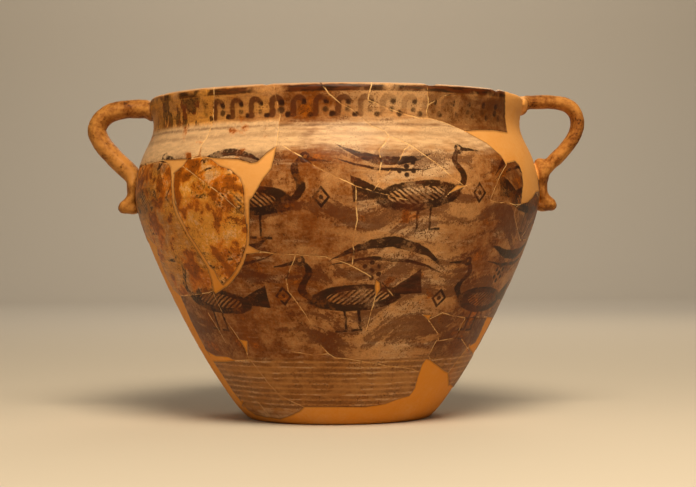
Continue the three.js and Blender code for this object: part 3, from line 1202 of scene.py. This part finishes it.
def banded(clay, slip, height, rough, kept):
    """The slip with the soft lines of the shoulder and the turned bands above the base."""
    upper = (abs(height - SHOULDER_LINES[0]) - 0.8 + rough).fall(-1, 1.3) * 0.55
    lower = (abs(height - SHOULDER_LINES[1]) - 1.6 + rough * 1.6).fall(-1.6, 1.6) * 0.3
    colour = (upper.most(lower) * kept).blend(slip, BROWN_INK)
    zone = height.between(*BANDS)
    line = lines_edge(height, *BAND_LINES, BAND_PITCH, 1.5) + clay.streaky * 3.4 + rough * 0.7
    specks = (clay.grains + clay.streaky * 0.5).rise(0.48, 0.58)
    strong = (clay.smears + clay.uneven * 1.2).rise(0.3, 0.62)
    colour = (zone * 0.5).blend(colour, BAND_BUFF)
    colour = (line.fall(-0.9, 0.7) * kept * (0.25 + strong * 0.35)).blend(colour, BROWN_INK)
    colour = (zone * specks * (0.2 + strong * 0.35)).blend(colour, BROWN_INK)
    scratch = line.rise(0.2, 1.0) * zone * (clay.streaks + clay.uneven).rise(0.45, 0.65)
    return (scratch * 0.5).blend(colour, PALE_BUFF)


def painted(clay, slip):
    """The slip with bands, sweeps of a broad brush, figures and the neck's hooks, all worn."""
    height = clay.height + (clay.broad - 0.5) * 3 + clay.uneven * 1.4
    rough = clay.tiny * 1.4 + clay.uneven * 1.2
    worn = clay.patchy * 0.9 + clay.fine * 0.5 + clay.grit * 0.3 + clay.wear * 0.42
    worn = worn.rise(0.98, 1.22)
    kept = 1 - worn * 0.85
    ink = (clay.streaks * 0.5 + clay.blotchy * 0.8).rise(0.56, 0.86).blend(DARK_INK, BROWN_INK)
    colour = banded(clay, slip, height, rough, kept)
    rows = ((height - SWEEP_ROW) * (2 * math.pi / SWEEP_PITCH)).cosine() * 0.06
    sweep = clay.brushed(75, 17, 11) + rows + clay.uneven * 0.25 + clay.grainy * 0.4
    sweep = sweep + clay.turn.between(*BROWN_RIGHT) * 0.035
    sweep = sweep.rise(0.53, 0.59) * (1 - clay.rust.rise(0.3, 0.6) * 0.6)
    colour = (sweep * clay.in_frieze * (1 - worn * 0.7) * 0.75).blend(colour, BROWN_INK)
    figures = (figure_edge(clay) + rough).fall(-0.5, 0.5)
    colour = (figures * kept * 0.95).blend(colour, ink)
    return necked(clay, colour, height, rough, kept)


def necked(clay, colour, height, rough, kept):
    """The painted pot with the hooks, daubs and dark edge of its neck, the soil and the worn lip with its
    painted highlight.
    """
    daubed = clay.turn.between(*DAUBED_NECK)
    faded = daubed.most(clay.turn.between(*FADED_HOOKS) * 0.6)
    hooks, blobs = hook_edges(clay.turn, height)
    shaky = rough + clay.uneven * 3
    colour = ((hooks + shaky).fall(-0.8, 0.8) * (1 - faded) * kept * 0.85).blend(colour, BROWN_INK)
    blobs = (blobs + shaky * 1.3).fall(-1.2, 1.0) * (1 - daubed) * kept
    colour = (blobs * 0.8).blend(colour, DARK_INK)
    daubs = (clay.brushed(9, 45) + clay.uneven * 0.6).rise(0.48, 0.52)
    daubs = daubs * clay.turn.rise(-1.2, -1.1) * daubed * height.between(*DAUBS) * (0.5 + kept * 0.5)
    colour = (daubs * 0.9).blend(colour, clay.patchy.rise(0.45, 0.55).blend(DARK_RUST, DARK_INK))
    edge = (abs(height - LIP_BAND) - 2.7 + rough * 1.2).fall(-0.7, 0.7)
    edge = edge * (clay.blotchy + clay.uneven * 0.6).rise(0.3, 0.5) * 0.9
    colour = edge.blend(colour, clay.streaks.rise(0.4, 0.6).blend(DARK_INK, BROWN_INK))
    soil = (clay.grit * 0.8 + clay.patchy * 0.4).rise(0.69, 0.82)
    soil = soil * (0.65 - clay.on_shoulder * 0.5)
    colour = soil.blend(colour, SOIL_AND_SHADOW)
    # The top of the lip is paler: worn paint, plus a painted highlight where the light falls on it from
    # above.
    crest = (clay.height + clay.uneven * 3).rise(HEIGHT - 2.2, HEIGHT - 1)
    return (crest * 0.85).blend(colour, WORN_LIP_AND_HIGHLIGHT)


def mended(clay, colour):
    """The surface with its glued joins and plaster fills, and how much of it is plaster."""
    # Plaster mottling, plus painted shade: the plaster turns darker towards the bottom, as the light falls
    # off downwards.
    plaster_mottle_and_low_shade = clay.broad * 0.6 + clay.patchy * 0.4 + clay.tiny * 0.3 + clay.height.fall(80, 220) * 0.3
    plaster = plaster_mottle_and_low_shade.rise(0.4, 0.95).blend(PLASTER, PLASTER_DARK)
    seam = abs(clay.shade.read("seam") + clay.uneven * 1.6 + clay.tiny * 0.9)
    line = (seam + (0.5 - clay.blotchy) * 1.6).fall(0.15, 0.55)
    line = line * (clay.patchy + clay.fine * 0.5).rise(0.54, 0.8)
    glue = (clay.patchy + clay.tiny * 0.6).rise(0.4, 0.6).blend(PLASTER, GLUE)
    glue = clay.blotchy.rise(0.58, 0.62).blend(glue, SOIL_AND_SHADOW)
    colour = (line * 0.8).blend(colour, glue)
    fill = clay.shade.read("fill") + clay.tiny * 0.7 + clay.uneven * 0.8
    filled = fill.fall(-0.2, 0.15)
    # A painted shadow: a thin dark line where the sherds' edges stand above the sunk plaster, in the
    # colour also used for soil.
    painted_edge_shadow = abs(fill - 0.25).fall(0.2, 0.6) * 0.6
    plaster = (fill.rise(-1.9, -0.2) * 0.45).blend(plaster, HANDLE_DARK)
    return filled.blend(painted_edge_shadow.blend(colour, SOIL_AND_SHADOW), plaster), filled


def handle_colour(clay):
    """The unpainted clay of the handles."""
    bare = clay.patchy * 0.9 + clay.broad * 0.5 + clay.tiny * 0.5
    pits = (clay.fine + clay.uneven * 0.9).rise(0.66, 0.76) * 0.8
    return pits.blend(bare.rise(0.54, 0.92).blend(HANDLE_CLAY, HANDLE_DARK), SOIL_AND_SHADOW)


def inside_colour(clay):
    """The plain clay of the hollow, streaked by the wheel."""
    bare = (clay.streaks * 0.7 + clay.patchy * 0.5).rise(0.3, 0.85)
    return bare.blend(INSIDE_CLAY, INSIDE_DARK)


def clay_finish():
    """Slip, paint, wear, plaster and bare clay in one finish."""
    material = bpy.data.materials.new("painted_clay")
    material.use_nodes = True
    tree = material.node_tree
    tree.nodes.clear()
    clay = Clay(tree)
    shade = clay.shade
    on_handle = shade.read("handle")
    colour = painted(clay, slip_colour(clay))
    colour = shade.read("inside").blend(colour, inside_colour(clay))
    colour, filled = mended(clay, colour)
    colour = on_handle.blend(colour, handle_colour(clay))
    roughness = 0.37 + clay.tiny * 0.2 + filled * 0.2 + on_handle * 0.15
    grain = clay.fine * 0.6 + clay.patchy * 0.7 + clay.streaks * 0.3 + clay.grit * 0.2
    bump = shade.node("ShaderNodeBump", {}, {"Strength": 0.5, "Distance": 0.5 * MM, "Height": grain})
    body = shade.node("ShaderNodeBsdfPrincipled", {},
                      {"Base Color": colour, "Roughness": roughness, "Normal": bump,
                       "Specular IOR Level": 0.12})
    shade.node("ShaderNodeOutputMaterial", {}, {"Surface": body})
    return material


# The finished krater

def krater_piece():
    """The krater with its relief, attributes and finish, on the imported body."""
    pot = turned_pot()
    seams = Seams(pot)
    back = Back()
    krater, shape = joined_pot(pot)
    refine_front(shape, seams)
    bmesh.ops.recalc_face_normals(shape, faces=shape.faces)
    mesh = krater.data
    shape.to_mesh(mesh)
    shape.free()
    points = np.zeros(len(mesh.vertices) * 3)
    mesh.vertices.foreach_get("co", points)
    points = points.reshape(-1, 3)
    normals = np.zeros(len(mesh.vertices) * 3)
    mesh.vertex_normals.foreach_get("vector", normals)
    lay = Lay(points, seams, back)
    write_attributes(mesh, points, lay, seams, back)
    finished = relief(points, normals.reshape(-1, 3), lay, seams)
    mesh.vertices.foreach_set("co", (finished * MM).ravel())
    mesh.shade_smooth()
    mesh.update()
    mesh.materials.append(clay_finish())
    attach(krater, "root")
    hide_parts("krater")
    return krater


# Studio, in metres

FLOOR_REACH = 4.0
BACKDROP_AT = 3.4
BACKDROP_BEND = 0.9
BEND_STEPS = 16
LAMP_COLOUR = (1.0, 0.85, 0.63)
STAGE_TONE = shade_of(206, 195, 178)


def studio():
    """A pale floor that bends up into a backdrop."""
    places = [(-FLOOR_REACH, 0)]
    for step in range(BEND_STEPS + 1):
        turn = math.pi / 2 * step / BEND_STEPS
        places.append((BACKDROP_AT + BACKDROP_BEND * math.sin(turn), BACKDROP_BEND * (1 - math.cos(turn))))
    places.append((BACKDROP_AT + BACKDROP_BEND, BACKDROP_BEND + FLOOR_REACH))
    sweep = bmesh.new()
    line = [sweep.verts.new((-FLOOR_REACH, *place)) for place in places]
    edges = [sweep.edges.new(pair) for pair in zip(line, line[1:])]
    grown = bmesh.ops.extrude_edge_only(sweep, edges=edges)["geom"]
    bmesh.ops.translate(sweep, vec=(2 * FLOOR_REACH, 0, 0),
                        verts=[part for part in grown if isinstance(part, bmesh.types.BMVert)])
    bmesh.ops.recalc_face_normals(sweep, faces=sweep.faces)
    floor = as_object(sweep, "floor")
    floor.data.shade_smooth()
    paper = bpy.data.materials.new("paper")
    paper.use_nodes = True
    paper.node_tree.nodes["Principled BSDF"].inputs["Base Color"].default_value = STAGE_TONE
    paper.node_tree.nodes["Principled BSDF"].inputs["Roughness"].default_value = 0.9
    floor.data.materials.append(paper)


def soft_light(name, place, target, size, watts, colour):
    """A soft studio lamp that faces the target."""
    lamp = bpy.data.lights.new(name, "AREA")
    lamp.size = size
    lamp.energy = watts
    lamp.color = colour
    holder = bpy.data.objects.new(name, lamp)
    holder.location = place
    holder.rotation_euler = (Vector(target) - Vector(place)).to_track_quat("-Z", "Y").to_euler()
    bpy.context.scene.collection.objects.link(holder)


def lights():
    """The lamps, the faint light from all round and plain colours."""
    soft_light("key", (0.15, -1.15, 1.65), (0, 0, 0.2), 0.8, 46, LAMP_COLOUR)
    soft_light("left", (-1.3, -1.3, 1.0), (0, 0, 0.15), 0.9, 3.6, LAMP_COLOUR)
    soft_light("right", (1.3, -1.3, 1.2), (0, 0, 0.2), 0.9, 3.2, LAMP_COLOUR)
    soft_light("behind", (0.5, 1.7, 1.4), (0, 0, 0.2), 0.9, 8, LAMP_COLOUR)
    soft_light("backdrop", (0, 2.2, 2.6), (0, 4.1, 0.7), 1.6, 40, (1.0, 0.94, 0.86))
    world = bpy.data.worlds.new("studio")
    world.use_nodes = True
    world.node_tree.nodes["Background"].inputs["Color"].default_value = (1.0, 0.9, 0.78, 1)
    world.node_tree.nodes["Background"].inputs["Strength"].default_value = 0.07
    bpy.context.scene.world = world
    bpy.context.scene.view_settings.view_transform = "Standard"


def camera():
    """The photo's own viewing place."""
    lens = bpy.data.cameras.new("camera")
    lens.sensor_width = SENSOR
    lens.lens = PHOTO_FOCAL / PHOTO_SIZE[0] * SENSOR
    holder = bpy.data.objects.new("camera", lens)
    holder.matrix_world = Matrix.Translation(EYE * MM) @ VIEW.to_4x4()
    bpy.context.scene.collection.objects.link(holder)
    bpy.context.scene.camera = holder


krater_piece()
studio()
lights()
camera()
